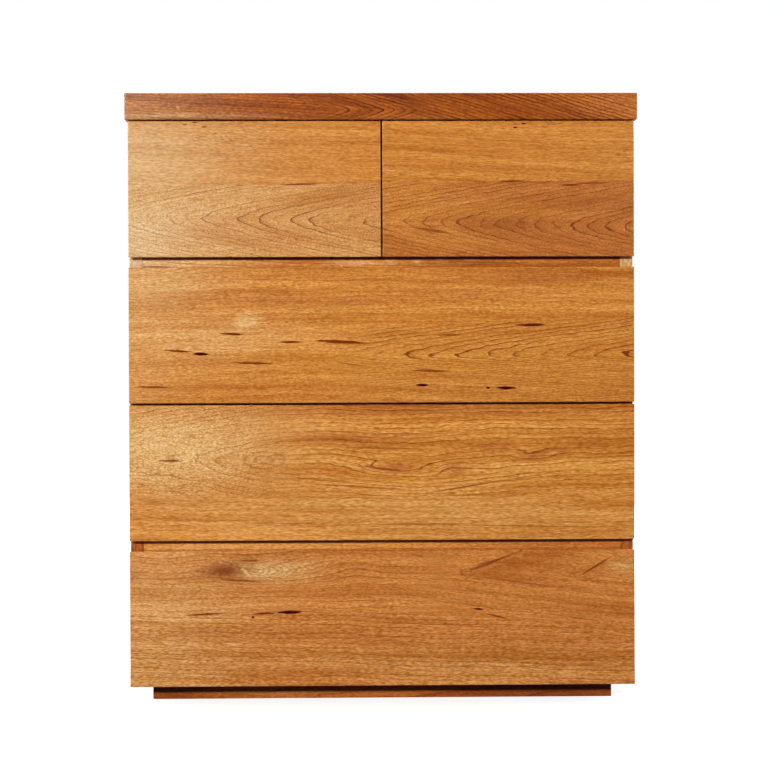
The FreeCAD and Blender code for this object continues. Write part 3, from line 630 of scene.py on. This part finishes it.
# Drawer fronts and the top.
straight_gold = {"tone": AMBER, "heart": (0.9, 0.3), "line_pitch": 0.007, "tip_pitch": 0.2, "slope": -0.03,
                 "lines": 0.4, "bands": 0.9, "pores": 1.2, "warp": 0.8, "flecks": 0.95,
                 "fleck_length": 0.009}
arrow_heads = {"heart": (0.069, 0.021), "lean": -0.02, "line_pitch": 0.0066, "tip_pitch": 0.036,
               "wander": 0.006, "warp": 0.9, "ripple": 0.7, "lines": 1.1, "bands": 0.8, "pores": 0.3,
               "flecks": 1.2, "fleck_length": 0.0035}
figured = {
    "top_panel": figured_timber(
        "top_panel",
        [{"tone": MAHOGANY, "heart": (0.5, 0.1), "line_pitch": 0.0055, "tip_pitch": 0.1, "slope": -0.05,
          "warp": 1.0, "lines": 1.2, "bands": 1.2, "flecks": 1.8},
         {"tone": MAHOGANY, "heart": (0.018, 0.005), "line_pitch": 0.006, "tip_pitch": -0.022,
          "slope": -0.1, "wander": 0.004, "warp": 0.5, "ripple": 0.3, "lines": 1.9, "edge": 0.6,
          "bands": 1.4, "flecks": 1.4, "right_of": (-0.1, 0.05)},
         {"tone": MAHOGANY, "heart": (-0.5, -0.9), "line_pitch": 0.0033, "tip_pitch": -0.022,
          "slope": -0.27, "warp": 0.9, "lines": 1.2, "edge": 0.6, "bands": 1.3, "flecks": 1.5,
          "right_of": (0.07, 0.04)},
         {"tone": MAHOGANY, "heart": (0.03, 0.2), "line_pitch": 0.0055, "tip_pitch": 0.08, "behind": 0.15},
         {"tone": MAHOGANY, "heart": (0.01, 0.42), "line_pitch": 0.006, "tip_pitch": -0.09,
          "behind": 0.31}],
        seed=1.3, matt=0.32,
        # Painted sheen: the first patch, pale blush over the slab's left end, paints the key lamp's sheen
        # there.
        patches=[(-0.5, 0.02, 0.17, 0.06, BLUSH, 0.5), (-0.42, 0.008, 0.16, 0.005, SAPWOOD, 0.5),
                 (0.06, 0.005, 0.09, 0.004, RUSSET, 0.9), (0.5, 0.03, 0.15, 0.06, RUSSET, 0.65),
                 (0.03, 0.03, 0.14, 0.05, UMBER, 0.42)],
        flashes=[(-0.396, 0.024, 0.007, 0.005, -0.3, 0.4)]),
    "top_left_drawer_front": figured_timber(
        "top_left_drawer_front",
        [{**arrow_heads, "tone": BLUSH}, {**straight_gold, "above": (0.144, 0.014)}],
        seed=2.0,
        # Painted sheen: the first three patches, honey, cream and birch over the left end, paint the key
        # lamp's sheen there. The russet patches are the timber's own tone.
        patches=[(-0.52, 0.1, 0.26, 0.3, HONEY, 0.8), (-0.48, 0.2, 0.16, 0.07, CREAM, 0.4),
                 (-0.52, 0.05, 0.16, 0.07, BIRCH, 0.6), (-0.32, 0.058, 0.06, 0.02, RUSSET, 0.4),
                 (-0.2, 0.035, 0.1, 0.014, RUSSET, 0.4), (-0.05, 0.11, 0.09, 0.018, RUSSET, 0.4)],
        streaks=[(-0.159, 0.1415, 0.075, 0.0035, 0.02, 0.55), (-0.416, 0.2595, 0.01, 0.0025, 0.0, 0.4),
                 (-0.383, 0.2585, 0.01, 0.0025, 0.0, 0.55), (-0.345, 0.2535, 0.013, 0.003, 0.05, 0.55),
                 (-0.3635, 0.262, 0.012, 0.0025, 0.0, 0.6), (-0.325, 0.24, 0.012, 0.0025, 0.1, 0.4)]),
    "top_right_drawer_front": figured_timber(
        "top_right_drawer_front",
        [{**arrow_heads, "tone": RUSSET}, {**straight_gold, "above": (0.144, 0.01)}],
        seed=3.0,
        patches=[(0.0, 0.12, 0.16, 0.07, GOLD, 0.7), (0.24, 0.062, 0.08, 0.022, UMBER, 0.4),
                 (0.45, 0.10, 0.12, 0.012, UMBER, 0.3), (0.25, 0.09, 0.15, 0.014, GOLD, 0.4),
                 (0.12, 0.03, 0.12, 0.02, GOLD, 0.4)],
        streaks=[(0.2615, 0.252, 0.008, 0.003, 0.0, 0.9), (0.2785, 0.2595, 0.01, 0.003, -0.1, 0.9),
                 (0.255, 0.147, 0.05, 0.0035, 0.01, 0.6), (0.369, 0.1395, 0.045, 0.0035, 0.0, 0.6),
                 (0.41, 0.143, 0.06, 0.003, 0.03, 0.5), (0.10, 0.051, 0.07, 0.005, -0.17, 0.45)]),
    "upper_drawer_front": figured_timber(
        "upper_drawer_front",
        [{"heart": (-0.3, 0.1), "line_pitch": 0.009, "tip_pitch": 0.6, "warp": 1.6, "lines": 0.4,
          "bands": 0.9},
         {"heart": (0.092, 0.014), "skew": -0.35, "line_pitch": 0.0042, "tip_pitch": 0.054, "wander": 0.008,
          "phase": 5.4, "warp": 0.7, "ripple": 0.7, "lines": 1.9, "flecks": 1.2, "bands": 0.9, "pores": 0.6,
          "right_of": (-0.05, 0.06)},
         {"heart": (-0.5, 0.1), "line_pitch": 0.008, "tip_pitch": -2.0, "wander": 0.03, "warp": 1.3,
          "lines": 0.5, "bands": 1.2, "above": (0.148, 0.035)}],
        seed=4.0,
        swellings=[(-0.27, 0.15, 0.05, 0.022, 1.2), (-0.52, 0.28, 0.12, 0.06, 5.0)],
        # Painted sheen: the three honey patches, all on the left part of the face, paint the key lamp's sheen
        # there.
        patches=[(-0.267, 0.158, 0.024, 0.014, SAPWOOD, 0.8), (-0.33, 0.12, 0.16, 0.05, HONEY, 0.5),
                 (-0.5, 0.15, 0.1, 0.2, HONEY, 0.4), (-0.44, 0.24, 0.12, 0.04, HONEY, 0.8),
                 (0.35, 0.245, 0.16, 0.012, RUSSET, 0.7), (-0.15, 0.2, 0.2, 0.012, RUSSET, 0.6),
                 (0.23, 0.214, 0.2, 0.01, RUSSET, 0.5), (0.05, 0.17, 0.15, 0.02, GOLD, 0.6),
                 (0.05, 0.08, 0.4, 0.035, GOLD, 1.0)],
        streaks=[(-0.293, 0.135, 0.045, 0.0045, -0.04, 0.7), (-0.398, 0.102, 0.055, 0.004, -0.06, 0.65),
                 (-0.353, 0.096, 0.03, 0.006, -0.03, 1.0), (-0.252, 0.078, 0.08, 0.0045, -0.03, 0.6),
                 (-0.180, 0.119, 0.045, 0.004, 0.0, 0.7), (-0.080, 0.119, 0.10, 0.007, -0.05, 0.65),
                 (-0.449, 0.032, 0.07, 0.004, -0.02, 0.55), (0.291, 0.151, 0.055, 0.006, 0.0, 0.8),
                 (0.131, 0.132, 0.05, 0.005, 0.0, 0.45), (0.095, 0.062, 0.075, 0.005, -0.02, 0.55),
                 (0.078, 0.034, 0.026, 0.005, 0.0, 1.0), (0.242, 0.028, 0.042, 0.005, -0.02, 1.0),
                 (0.207, 0.028, 0.008, 0.004, 0.0, 0.9), (-0.06, 0.075, 0.06, 0.003, -0.15, 0.4),
                 (0.18, 0.03, 0.09, 0.004, 0.0, 0.3)]),
    "middle_drawer_front": figured_timber(
        "middle_drawer_front",
        [{"line_pitch": 0.009, "tip_pitch": 1.5, "lines": 0.5, "bands": 1.2, "fleck_length": 0.011},
         {"heart": (0.155, 0.024), "line_pitch": 0.0075, "tip_pitch": 0.05, "wander": 0.01, "warp": 1.2,
          "ripple": 0.8, "lines": 1.0, "bands": 0.6, "flecks": 1.5, "fleck_length": 0.005,
          "above": (0.0865, -0.004)},
         {"heart": (-0.4, 0.1), "line_pitch": 0.0085, "tip_pitch": 0.6, "wander": 0.03, "warp": 1.6,
          "ripple": 0.5, "lines": 1.3, "bands": 1.4, "flecks": 1.4, "fleck_length": 0.01,
          "above": (0.0865, -0.004), "right_of": (-0.2, 0.12)}],
        seed=5.0,
        swellings=[(0.09, 0.12, 0.2, 0.05, 3.0), (-0.40, 0.142, 0.05, 0.016, 1.6),
                   (-0.37, 0.108, 0.05, 0.011, 1.4), (0.03, 0.142, 0.06, 0.014, 1.2),
                   (0.142, 0.14, 0.04, 0.014, -1.0), (0.296, 0.162, 0.04, 0.014, 1.2)],
        knots=[(-0.234, 0.158, 0.062, 0.024, 1.2, 2.6, 0.35), (-0.222, 0.0985, 0.022, 0.006, 1.0, 1.6, 0.4),
               (-0.383, 0.101, 0.04, 0.009, 1.0, 2.4, 0.35)],
        # Painted sheen: the first two patches, honey over the left end, paint the key lamp's sheen there.
        patches=[(-0.43, 0.19, 0.22, 0.08, HONEY, 1.0), (-0.47, 0.15, 0.14, 0.05, HONEY, 0.6),
                 (0.2, 0.15, 0.36, 0.06, GOLD, 1.0), (0.2, 0.15, 0.3, 0.04, HONEY, 0.08),
                 (-0.44, 0.17, 0.16, 0.06, SAPWOOD, 0.35), (-0.44, 0.074, 0.09, 0.014, RUSSET, 0.5),
                 (0.1, 0.255, 0.3, 0.01, RUSSET, 0.6), (-0.05, 0.2, 0.14, 0.012, RUSSET, 0.6),
                 (0.03, 0.142, 0.042, 0.01, RUSSET, 1.0), (0.142, 0.14, 0.024, 0.01, RUSSET, 1.0),
                 (0.296, 0.162, 0.024, 0.011, RUSSET, 1.0), (0.215, 0.183, 0.05, 0.007, RUSSET, 1.0),
                 (0.41, 0.188, 0.04, 0.008, RUSSET, 1.0), (0.35, 0.172, 0.012, 0.008, RUSSET, 1.0),
                 (0.1, 0.045, 0.45, 0.04, GOLD, 1.0), (0.05, 0.05, 0.5, 0.045, HONEY, 0.35),
                 (0.45, 0.14, 0.12, 0.06, GOLD, 0.5)],
        streaks=[(-0.415, 0.157, 0.05, 0.004, -0.01, 0.6), (0.16, 0.1035, 0.13, 0.003, 0.16, 0.5),
                 (0.22, 0.1135, 0.3, 0.003, 0.15, 0.3), (0.07, 0.031, 0.2, 0.004, 0.0, 0.35),
                 (0.3, 0.026, 0.3, 0.003, -0.02, 0.35), (-0.2, 0.034, 0.14, 0.003, 0.0, 0.3),
                 (-0.05, 0.105, 0.2, 0.003, -0.06, 0.4), (0.0, 0.18, 0.16, 0.0035, -0.02, 0.4),
                 (0.0, 0.14, 0.09, 0.005, -0.15, 0.4), (-0.12, 0.118, 0.14, 0.003, -0.1, 0.35)]),
    "lower_drawer_front": figured_timber(
        "lower_drawer_front",
        [{"tone": ROSE, "line_pitch": 0.009, "tip_pitch": 0.3, "heart": (0.8, 0.1), "lines": 0.8,
          "bands": 1.2, "flecks": 1.7, "fleck_length": 0.009},
         {"tone": ROSE, "heart": (-0.4, 0.1), "line_pitch": 0.011, "tip_pitch": 2.0, "warp": 1.6,
          "lines": 0.8, "bands": 1.0, "flecks": 1.3, "above": (0.1435, 0.006)},
         {"tone": ROSE, "heart": (0.214, 0.004), "skew": -0.5, "line_pitch": 0.04, "tip_pitch": 0.231,
          "warp": 0.2, "ripple": 0.15, "phase": 0.536, "edge": 0.95, "slope": -0.08, "lines": 1.3,
          "bands": 0.9, "above": (0.1435, -0.06), "right_of": (0.1, 0.08)}],
        seed=6.0,
        swellings=[(-0.262, 0.228, 0.06, 0.024, 1.6), (-0.19, 0.224, 0.08, 0.026, 1.2),
                   (-0.43, 0.24, 0.06, 0.03, 1.0), (-0.06, 0.235, 0.05, 0.03, -0.8)],
        patches=[(-0.215, 0.225, 0.075, 0.021, HONEY, 0.85), (-0.24, 0.226, 0.04, 0.014, SAPWOOD, 0.25),
                 # Painted sheen: the first patch on the next line, honey over the left end, paints the key
                 # lamp's sheen there.
                 (-0.45, 0.1, 0.18, 0.2, HONEY, 0.5), (-0.31, 0.227, 0.04, 0.015, UMBER, 1.0),
                 (-0.38, 0.105, 0.14, 0.008, RUSSET, 0.6), (0.0, 0.1, 0.16, 0.02, RUSSET, 0.4),
                 (0.42, 0.13, 0.2, 0.04, RUSSET, 0.5), (0.32, 0.222, 0.11, 0.026, RUSSET, 0.5),
                 (0.475, 0.23, 0.03, 0.012, HONEY, 0.45), (0.2, 0.045, 0.4, 0.035, BLUSH, 0.6)],
        knots=[(-0.279, 0.2268, 0.135, 0.03, 4.0, 11.0, 0.42)],
        flashes=[(-0.266, 0.2215, 0.016, 0.007, -0.8, 0.6), (-0.274, 0.2295, 0.008, 0.005, 0.0, 0.45)],
        streaks=[(-0.303, 0.2235, 0.034, 0.012, 0.25, 0.3), (0.209, 0.239, 0.09, 0.006, 0.38, 0.45),
                 (0.275, 0.2004, 0.18, 0.003, -0.135, 0.35), (0.418, 0.2325, 0.058, 0.0045, 0.6, 0.55),
                 (-0.182, 0.145, 0.05, 0.006, 0.02, 1.0), (-0.231, 0.143, 0.045, 0.004, 0.03, 0.65),
                 (-0.348, 0.142, 0.08, 0.004, 0.05, 0.6), (-0.254, 0.136, 0.006, 0.005, 0.0, 0.7),
                 (-0.26, 0.2465, 0.04, 0.005, 0.0, 0.5), (-0.28, 0.2075, 0.075, 0.004, -0.05, 0.45),
                 (0.186, 0.149, 0.02, 0.004, -0.1, 0.9), (0.223, 0.135, 0.04, 0.004, -0.25, 0.55)]),
}

# The other pieces.
others = {
    "left side": panel_timber(
        "left side timber", "z", CHESTNUT, board_width=0.145, seed=3.1, line_pitch=0.006, tip_pitch=0.12,
        lines=0.8, heart_depth=-0.46,
        patches=[(0.98, -0.2, 0.3, 0.012, BIRCH, 0.85)]),
    "right side": panel_timber(
        "right side timber", "z", CHESTNUT, board_width=0.145, seed=3.6, line_pitch=0.006, tip_pitch=0.12,
        lines=0.8, heart_depth=0.46,
        patches=[(0.98, -0.2, 0.3, 0.012, HONEY, 1.0), (0.98, -0.2, 0.3, 0.012, SAPWOOD, 0.7),
                 (0.3, -0.2, 0.2, 0.012, RUSSET, 0.7)]),
    "rail": panel_timber(
        "rail timber", "x", GOLD, board_width=0.2, seed=4.4, line_pitch=0.007, tip_pitch=0.3, lines=0.3,
        bands=0.5,
        patches=[(-0.32, 0.307, 0.2, 0.04, HONEY, 0.35), (0.37, 0.307, 0.3, 0.04, RUSSET, 0.95),
                 # Painted shade: the last two full-length strips paint the dark crease at the lower rail's
                 # foot, where the lower drawer front's top meets it, and the shadow that the middle drawer
                 # front casts on the rail's top.
                 (0.0, 0.2974, 3.0, 0.0016, CHESTNUT, 0.7), (0.0, 0.3152, 3.0, 0.0036, UMBER, 1.0)]),
    "sapwood rail": panel_timber(
        "sapwood rail timber", "x", AMBER, board_width=0.2, seed=4.7, line_pitch=0.007, tip_pitch=0.3,
        lines=0.9, bands=2.0,
        patches=[(-0.38, 0.862, 0.13, 0.03, HONEY, 0.8), (-0.47, 0.862, 0.07, 0.03, BIRCH, 0.7),
                 (-0.15, 0.865, 0.08, 0.02, RUSSET, 0.75), (-0.05, 0.86, 0.05, 0.005, SAPWOOD, 0.6),
                 (0.2, 0.864, 0.06, 0.02, CHESTNUT, 0.4), (0.07, 0.864, 0.01, 0.005, HONEY, 1.0),
                 (0.018, 0.865, 0.01, 0.005, HONEY, 0.9), (0.12, 0.867, 0.012, 0.004, HONEY, 0.9),
                 (0.175, 0.866, 0.012, 0.004, HONEY, 0.7), (0.15, 0.862, 0.09, 0.008, UMBER, 0.5),
                 # Painted shadow: the last patch, a full-length umber strip at the rail's top, paints the
                 # shadow that the top drawer fronts cast on the rail.
                 (0.35, 0.865, 0.15, 0.014, RUSSET, 0.8), (0.0, 0.8706, 3.0, 0.0036, UMBER, 1.0)],
        streaks=[(-0.098, 0.870, 0.006, 0.004, 0.0, 0.95), (-0.442, 0.8535, 0.07, 0.003, 0.0, 0.45)]),
    "plinth": panel_timber(
        "plinth timber", "x", CHESTNUT, board_width=0.2, seed=5.2, line_pitch=0.006, tip_pitch=0.2, lines=0.7,
        bands=1.2,
        patches=[(-0.22, 0.01, 0.12, 0.05, BLUSH, 0.42), (0.02, 0.01, 0.14, 0.05, RUSSET, 0.7),
                 (0.38, 0.01, 0.2, 0.05, UMBER, 0.95), (-0.43, 0.01, 0.08, 0.05, UMBER, 0.85)]),
    "plinth cross": panel_timber(
        "plinth cross timber", "y", MAHOGANY, board_width=0.2, seed=5.7, line_pitch=0.006, tip_pitch=0.2,
        lines=0.7),
    "runner": panel_timber(
        "runner timber", "y", CREAM, board_width=0.2, seed=6.3, line_pitch=0.007, tip_pitch=0.3, lines=0.5),
    "box": panel_timber(
        "drawer box timber", "y", CREAM, board_width=0.12, seed=7.5, line_pitch=0.006, tip_pitch=0.2,
        lines=0.6),
    "box back": panel_timber(
        "drawer back timber", "x", CREAM, board_width=0.12, seed=7.9, line_pitch=0.006, tip_pitch=0.2,
        lines=0.6),
    "flat": panel_timber(
        "drawer bottom timber", "x_flat", CREAM, board_width=0.12, seed=8.3, line_pitch=0.007,
        tip_pitch=0.15, lines=0.6),
    "carcass floor": panel_timber(
        "carcass floor timber", "x_flat", RUSSET, board_width=0.14, seed=8.8, line_pitch=0.006,
        tip_pitch=0.12, lines=0.7),
    "back": panel_timber(
        "back panel timber", "z_back", AMBER, board_width=0.12, seed=9.4, line_pitch=0.006, tip_pitch=0.12,
        lines=0.7, heart_depth=0.25),
    "stop": panel_timber(
        "stop timber", "z_back", RUSSET, board_width=0.05, seed=9.9, line_pitch=0.004, tip_pitch=0.2,
        lines=0.7),
}


# How fine the speckle of the plain finishes is, in specks per metre, its step and what it adds to roughness.
SPECKS = 900.0
SPECK_STEP = (-0.2, 0.2)
SPECK_ROUGHNESS = 0.2


def plain_finish(name, colour, metallic, roughness, speckle):
    """A plain finish with a fine uneven sheen, for the screws and the felt."""
    material, net, shader = new_material(name)
    place = net.add("TexCoord").outputs["Object"]
    scaled = net.add("VectorMath", operation="SCALE")
    net.put(place, scaled.inputs[0])
    scaled.inputs["Scale"].default_value = SPECKS
    fleck = net.noise(scaled.outputs[0], 3.0)
    dark = tuple(value * (1.0 - speckle) for value in colour[:3]) + (1.0,)
    net.put(net.mix(net.between(fleck, *SPECK_STEP), colour, dark), shader.inputs["Base Color"])
    net.put(net.math("MULTIPLY_ADD", fleck, SPECK_ROUGHNESS, roughness), shader.inputs["Roughness"])
    shader.inputs["Metallic"].default_value = metallic
    return material


steel = plain_finish("zinc plated steel", (0.62, 0.6, 0.55, 1), 1.0, 0.38, 0.15)
felt = plain_finish("grey felt", (0.3, 0.28, 0.25, 1), 0.0, 0.95, 0.4)


def finish_for(name):
    """The material of a piece, by the piece's name."""
    if name in figured:
        return figured[name]
    if name.endswith("_screws"):
        return steel
    if name == "bumpers":
        return felt
    if name == "left_side_panel":
        return others["left side"]
    if name in ("right_side_panel", "centre_divider"):
        return others["right side"]
    if name == "upper_front_rail":
        return others["sapwood rail"]
    if name in ("plinth_front", "plinth_rear"):
        return others["plinth"]
    if name.startswith("plinth"):
        return others["plinth cross"]
    if name == "bottom_panel":
        return others["carcass floor"]
    if name == "back_panel":
        return others["back"]
    if name.endswith("_runner"):
        return others["runner"]
    if name.endswith("_stop"):
        return others["stop"]
    if name.endswith("_side"):
        return others["box"]
    if name.endswith("_back"):
        return others["box back"]
    if name.endswith("_bottom"):
        return others["flat"]
    return others["rail"]


for name, piece in nodes.items():
    piece.data.materials.clear()
    piece.data.materials.append(finish_for(name))

# Floor, world, lights and camera.
scene = bpy.context.scene
scene.view_settings.view_transform = "Standard"


def seen_white(net, behind):
    """Where a ray sees the white studio: camera rays everywhere, mirrored rays only behind the tallboy."""
    rays = net.add("LightPath")
    seen = net.math("MAXIMUM", rays.outputs["Is Camera Ray"], rays.outputs["Is Transmission Ray"])
    return net.math("MAXIMUM", seen, net.product(rays.outputs["Is Glossy Ray"], behind))


# The floor's size in metres, its grey for the light it gives back and the grey that is seen.
FLOOR_SIZE = 60.0
FLOOR_SHADE = (0.15, 0.15, 0.15, 1)
FLOOR_PALE = (0.6, 0.6, 0.6, 1)
# The glow of the floor under the tallboy, which leaves room for its shadow, and how far off it is white.
FLOOR_GLOW = 0.72
GLOW_REACH = (1.0, 3.0)
# Where the floor and the sky behind the tallboy begin.
FLOOR_BEHIND = (0.0, 1.0)
SKY_BEHIND = (0.0, 0.3)
bpy.ops.mesh.primitive_plane_add(size=FLOOR_SIZE, location=(0.0, 0.0, 0.0))
floor = bpy.context.object
floor.name = "floor"
floor_paint, net, shader = new_material("pale floor")
across, back, _ = net.split(net.add("TexCoord").outputs["Object"])
white = seen_white(net, net.between(back, *FLOOR_BEHIND))
glow = net.between(net.length(across, back), *GLOW_REACH, FLOOR_GLOW, 1.0)
net.put(net.mix(white, FLOOR_SHADE, FLOOR_PALE), shader.inputs["Base Color"])
shader.inputs["Roughness"].default_value = 0.9
shader.inputs["Specular IOR Level"].default_value = 0.0
shader.inputs["Emission Color"].default_value = (1.0, 1.0, 1.0, 1.0)
net.put(net.product(white, glow), shader.inputs["Emission Strength"])
floor.data.materials.append(floor_paint)

# The strength of the studio's own light, where it isn't seen as white.
ROOM_LIGHT = 0.05
world = bpy.data.worlds.new("studio")
world.use_nodes = True
scene.world = world
net = Net(world.node_tree)
sky = world.node_tree.nodes["Background"]
_, back, _ = net.split(net.add("TexCoord").outputs["Generated"])
sky.inputs["Color"].default_value = (1.0, 1.0, 1.0, 1.0)
white = seen_white(net, net.between(back, *SKY_BEHIND))
net.put(net.blend(white, ROOM_LIGHT, 1.0), sky.inputs["Strength"])

# Where the lamps look.
TARGET = Vector((0.0, 0.0, 0.6))


def soft_box(name, place, width, height, power):
    """A rectangular soft light that looks at the tallboy."""
    data = bpy.data.lights.new(name, "AREA")
    data.shape = "RECTANGLE"
    data.size = width
    data.size_y = height
    data.energy = power
    light = bpy.data.objects.new(name, data)
    light.location = place
    light.rotation_euler = (TARGET - Vector(place)).to_track_quat("-Z", "Y").to_euler()
    scene.collection.objects.link(light)


# Each lamp's name, place, width, height and power.
LAMPS = [
    ("key", (-2.5, -6.2, 2.08), 1.6, 0.45, 414.0),
    ("fill", (2.8, -6.2, 2.05), 1.6, 0.45, 68.0),
    ("left wall", (-5.0, 1.4, 2.0), 2.5, 2.0, 190.0),
    ("right wall", (5.0, 1.4, 2.0), 2.5, 2.0, 190.0),
    ("back wall", (1.2, 5.5, 2.0), 2.5, 2.0, 230.0),
    ("overhead", (0.0, 0.9, 4.2), 3.0, 2.0, 120.0),
]
for lamp in LAMPS:
    soft_box(*lamp)

# The camera at the photo's angle: its place in metres, its turn in degrees, its lens and film in millimetres.
CAMERA_PLACE = (-0.086, -4.7, 0.666)
CAMERA_TURN = (89.305, 0.196, -1.284)
LENS = 105.87
FILM_WIDTH = 36.0
camera_data = bpy.data.cameras.new("camera")
camera_data.sensor_width = FILM_WIDTH
camera_data.lens = LENS
camera = bpy.data.objects.new("camera", camera_data)
camera.location = CAMERA_PLACE
camera.rotation_euler = [math.radians(angle) for angle in CAMERA_TURN]
scene.collection.objects.link(camera)
scene.camera = camera
